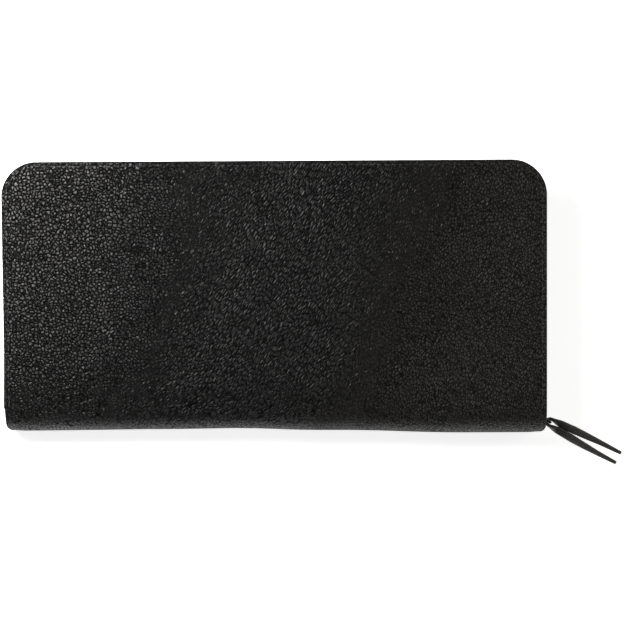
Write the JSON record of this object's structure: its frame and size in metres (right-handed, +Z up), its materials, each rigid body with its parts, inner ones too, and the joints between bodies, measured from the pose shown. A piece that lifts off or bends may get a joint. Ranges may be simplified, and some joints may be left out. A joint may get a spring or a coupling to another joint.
{
  "type": "long wallet",
  "caption": "Zip-around long wallet of black pebbled leather with card slots, a zipped coin pocket, pleated gussets and a folded lace pull.",
  "frame": {"origin": "centre of the face of the back cover that the closed wallet rests on", "axes": "+X along the spine, to the end with the zip pull; +Y from the spine to the opening edge; +Z up through the thickness, from back cover to front cover"},
  "size_m": [0.2284, 0.1118, 0.025],
  "materials": {
    "outer_leather": "pebbled, satin",
    "slot_leather": "smooth, satin",
    "lining": "matte twill",
    "board": "matte",
    "zip_tape": "matte woven",
    "zip_metal": "gunmetal, satin",
    "slider_metal": "gunmetal, polished",
    "lace": "smooth, cut edges"
  },
  "bodies": {
    "back": {"back_cover": "outer_leather", "back_board": "board", "back_lining": "lining", "back_card_slot_1": "slot_leather", "back_card_slot_2": "slot_leather", "back_card_slot_3": "slot_leather", "spine_leather": "outer_leather", "spine_lining": "lining", "zip_tape_back": "zip_tape", "zip_teeth_back": "zip_metal", "zip_bottom_stop": "zip_metal", "gusset_left": "lining", "gusset_right": "lining"},
    "front": {"front_cover": "outer_leather", "front_board": "board", "front_lining": "lining", "front_card_slot_1": "slot_leather", "front_card_slot_2": "slot_leather", "front_card_slot_3": "slot_leather", "zip_tape_front": "zip_tape", "zip_teeth_front": "zip_metal"},
    "coin_pocket": {"coin_pocket_back": "slot_leather", "coin_pocket_front": "slot_leather", "coin_pocket_binding": "slot_leather", "coin_zip_tape_back": "zip_tape", "coin_zip_tape_front": "zip_tape", "coin_zip_teeth": "zip_metal", "coin_zip_stops": "zip_metal"},
    "zip_slider": {"zip_slider_body": "slider_metal", "zip_slider_crown": "slider_metal"},
    "zip_pull": {"pull_ring": "slider_metal", "pull_lace": "lace"},
    "coin_slider": {"coin_slider_body": "slider_metal", "coin_slider_crown": "slider_metal"},
    "coin_pull": {"coin_pull_tab": "slider_metal"}
  },
  "joints": [
    {"name": "cover_hinge", "type": "hinge", "parent": "back", "child": "front", "pos_m": [0, -0.0475, 0.0125], "axis": [1, 0, 0], "range_deg": [0, 60], "deforming": ["spine_leather", "spine_lining", "gusset_left", "gusset_right", "zip_teeth_front"]},
    {"name": "coin_pocket_hinge", "type": "hinge", "parent": "back", "child": "coin_pocket", "pos_m": [0, -0.0475, 0.0125], "axis": [1, 0, 0], "range_deg": [0, 30]},
    {"name": "zip_slider_travel", "type": "slide", "parent": "back", "child": "zip_slider", "axis": [0, 1, 0], "range_m": [0, 0.07], "deforming": ["zip_teeth_back"]},
    {"name": "zip_pull_swing", "type": "hinge", "parent": "zip_slider", "child": "zip_pull", "pos_m": [0.09785, -0.04465, 0.0125], "axis": [0, 0, 1], "range_deg": [-15, 60], "deforming": ["pull_lace"]},
    {"name": "coin_slider_travel", "type": "slide", "parent": "coin_pocket", "child": "coin_slider", "axis": [-1, 0, 0], "range_m": [0, 0.148], "deforming": ["coin_zip_teeth"]},
    {"name": "coin_pull_swing", "type": "hinge", "parent": "coin_slider", "child": "coin_pull", "pos_m": [0.0745, 0.029, 0.0125], "axis": [0, 0, -1], "range_deg": [0, 170]}
  ],
  "couplings": [
    {"joint": "coin_pocket_hinge", "follows": "cover_hinge", "ratio": 0.5}
  ]
}
